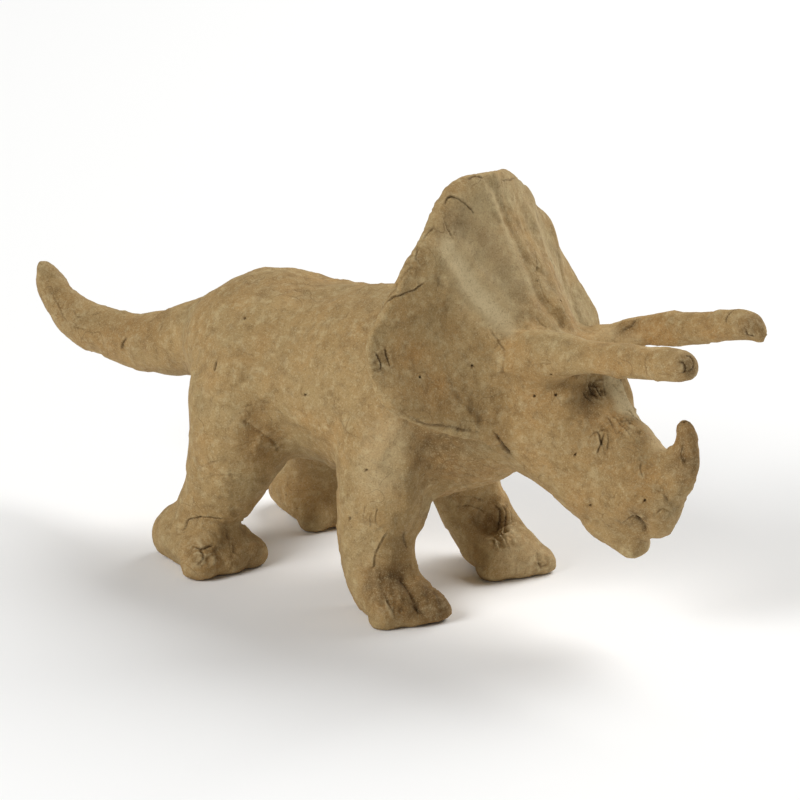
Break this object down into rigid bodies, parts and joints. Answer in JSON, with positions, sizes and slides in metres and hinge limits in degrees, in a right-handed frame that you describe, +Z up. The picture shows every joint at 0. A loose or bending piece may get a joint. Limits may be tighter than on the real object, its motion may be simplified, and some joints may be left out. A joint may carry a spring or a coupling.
{
  "type": "papier-mache animal figure",
  "caption": "Free-standing papier-mache triceratops in bare kraft paper, with a tall frill, blunt brow horns, a nose horn and an upturned tail, for display or painting.",
  "frame": {"origin": "bottom centre of the figure's bounding box, in the plane of the four soles", "axes": "+X is the way the animal looks, from tail to horns; +Y is its left side; +Z is up"},
  "size_m": [0.2694, 0.109, 0.1387],
  "materials": {
    "kraft_paper": "matt, bare pasted kraft paper with wrinkles and torn edges"
  },
  "bodies": {
    "root": {"papier_mache_triceratops": "kraft_paper"}
  },
  "joints": []
}
